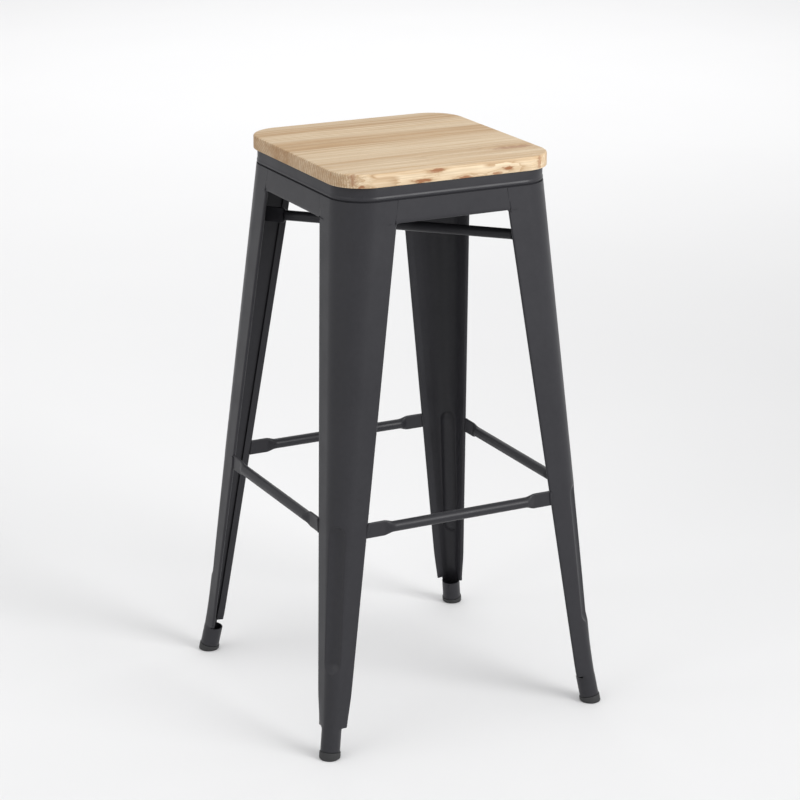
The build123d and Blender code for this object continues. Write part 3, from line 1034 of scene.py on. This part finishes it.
def wood(name):
    """One glued board with a matt finish, with rings about its own log's heart."""
    board = BOARDS[name]
    material, tree, shader = new_material(f"seat_wood_{name}")
    shift = (board["shift"], 0, 0)
    place_in = wandering(tree, board)
    knots, swirl = board_knots(tree, name)
    rings = late_wood(tree, ring_phase(tree, board, place_in, swirl))
    streaks = noise(tree, stretched(tree, (5, 420, 420), shift), 1, 3, 0.6)
    fibres = noise(tree, stretched(tree, (35, 1700, 1700), shift), 1, 2, 0.6)
    end_share = end_grain(tree)

    ring_share = math_node(tree, "MULTIPLY", rings, noise_range(tree, streaks, 0.45, 0.95))
    colour = mixed(tree, ring_share, ground_colour(tree, board, place_in), WOOD_RING)
    end_rings = math_node(tree, "MULTIPLY", math_node(tree, "MULTIPLY", rings, end_share), END_RING_SHARE)
    colour = mixed(tree, end_rings, colour, WOOD_RING)
    colour = mixed(tree, glue_line(tree), colour, WOOD_RING)
    fine = ranged(tree, math_node(tree, "ADD", streaks, fibres), 0.7, 1.3, 0.86, 1.12)
    fine_colour = add_node(tree, "ShaderNodeCombineColor", {"Red": fine, "Green": fine, "Blue": fine})
    colour = mixed(tree, 1.0, colour, fine_colour.outputs["Color"], "MULTIPLY")
    for knot in knots:
        colour = mixed(tree, knot, colour, WOOD_KNOT)
    colour = mixed(tree, 1.0, colour, mixed(tree, end_share, WHITE, END_GRAIN), "MULTIPLY")
    tree.links.new(colour, shader.inputs["Base Color"])

    tree.links.new(noise_range(tree, streaks, 0.52, 0.64), shader.inputs["Roughness"])
    shader.inputs["Specular IOR Level"].default_value = 0.32
    height = math_node(tree, "ADD", math_node(tree, "MULTIPLY", rings, 0.5), fibres)
    bumped(tree, shader, height, 0.3, 0.00008)
    return material


def floor_paper():
    """A pale, plain studio floor."""
    material, tree, shader = new_material("studio_floor")
    colour = mixed(tree, noise(tree, position(tree), 2, 2), FLOOR_DARK, FLOOR_LIGHT)
    tree.links.new(colour, shader.inputs["Base Color"])
    shader.inputs["Roughness"].default_value = 0.9
    shader.inputs["Specular IOR Level"].default_value = 0.2
    return material


def finish_cad_node(name, material):
    """Gives a CAD node that stays its finish."""
    for material_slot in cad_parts[name].material_slots:
        material_slot.material = material


# --- studio ---
CAMERA_AZIMUTH = -27.51
CAMERA_ELEVATION = 18.08
CAMERA_ROLL = 0.35
CAMERA_DISTANCE = 3453.7
CAMERA_LENS = 114.42
SENSOR_WIDTH = 36.0
AIM_RIGHT = 4.41
AIM_UP = 22.61

# Lights and the floor are placed in metres.
STUDIO_AIM_HEIGHT = 0.4
BACKDROP_LIGHT_PLACE = (2.1, 4.0, 3.2)
FLOOR_RADIUS = 30
WORLD_STRENGTH = 0.84


def make_camera():
    azimuth = math.radians(CAMERA_AZIMUTH)
    elevation = math.radians(CAMERA_ELEVATION)
    roll = math.radians(CAMERA_ROLL)
    back = Vector((math.sin(azimuth) * math.cos(elevation), -math.cos(azimuth) * math.cos(elevation),
                   math.sin(elevation)))
    right = Vector((math.cos(azimuth), math.sin(azimuth), 0))
    up = back.cross(right)
    aim = Vector((0, 0, SEAT_TOP / 2)) + right * AIM_RIGHT + up * AIM_UP
    rolled_right = right * math.cos(roll) + up * math.sin(roll)
    rolled_up = up * math.cos(roll) - right * math.sin(roll)
    data = bpy.data.cameras.new("camera")
    data.lens = CAMERA_LENS
    data.sensor_width = SENSOR_WIDTH
    camera = bpy.data.objects.new("camera", data)
    turn = Matrix((rolled_right, rolled_up, back)).transposed().to_4x4()
    camera.matrix_world = Matrix.Translation((aim + back * CAMERA_DISTANCE) * MM) @ turn
    bpy.context.scene.collection.objects.link(camera)
    bpy.context.scene.camera = camera


def new_area_light(name, size, watts, spread):
    """A square soft light that shines straight down until it is turned."""
    data = bpy.data.lights.new(name, "AREA")
    data.shape = "SQUARE"
    data.size = size
    data.energy = watts
    data.spread = math.radians(spread)
    light = bpy.data.objects.new(name, data)
    bpy.context.scene.collection.objects.link(light)
    return light


def add_light(name, azimuth, elevation, distance, size, watts, aim_height=STUDIO_AIM_HEIGHT, spread=180):
    """A soft light aimed at the stool's axis. Azimuth 0 is the front, and 90 the right."""
    turn = math.radians(azimuth)
    rise = math.radians(elevation)
    way = Vector((math.sin(turn) * math.cos(rise), -math.cos(turn) * math.cos(rise), math.sin(rise)))
    light = new_area_light(name, size, watts, spread)
    light.location = Vector((0, 0, aim_height)) + way * distance
    light.rotation_euler = way.to_track_quat("Z", "Y").to_euler()


def add_backdrop_light():
    """A wide light over the floor behind the stool, which keeps the background pale."""
    light = new_area_light("backdrop_light", 4, 28, 110)
    light.location = BACKDROP_LIGHT_PLACE


def make_studio():
    bm = bmesh.new()
    bmesh.ops.create_circle(bm, cap_ends=True, segments=96, radius=FLOOR_RADIUS)
    floor = new_piece("studio_floor", bm, floor_paper())
    add_light("left_light", -85, 30, 5.0, 4.0, 44)
    add_light("front_right_light", 30, 22, 2.8, 1.6, 9.8, aim_height=0.75, spread=60)
    add_backdrop_light()
    world = bpy.data.worlds.new("studio")
    world.use_nodes = True
    world.node_tree.nodes["Background"].inputs["Color"].default_value = WHITE
    world.node_tree.nodes["Background"].inputs["Strength"].default_value = WORLD_STRENGTH
    bpy.context.scene.world = world
    bpy.context.scene.view_settings.view_transform = "Standard"


make_camera()
make_studio()
steel = powder_coat()
make_legs(steel)
make_aprons(steel)
make_pan(steel)
make_footrests(steel)
make_braces(steel)
make_feet(rubber())
make_screws(zinc())
make_boards()
for weld_node in ("footrest_welds", "brace_welds"):
    finish_cad_node(weld_node, steel)
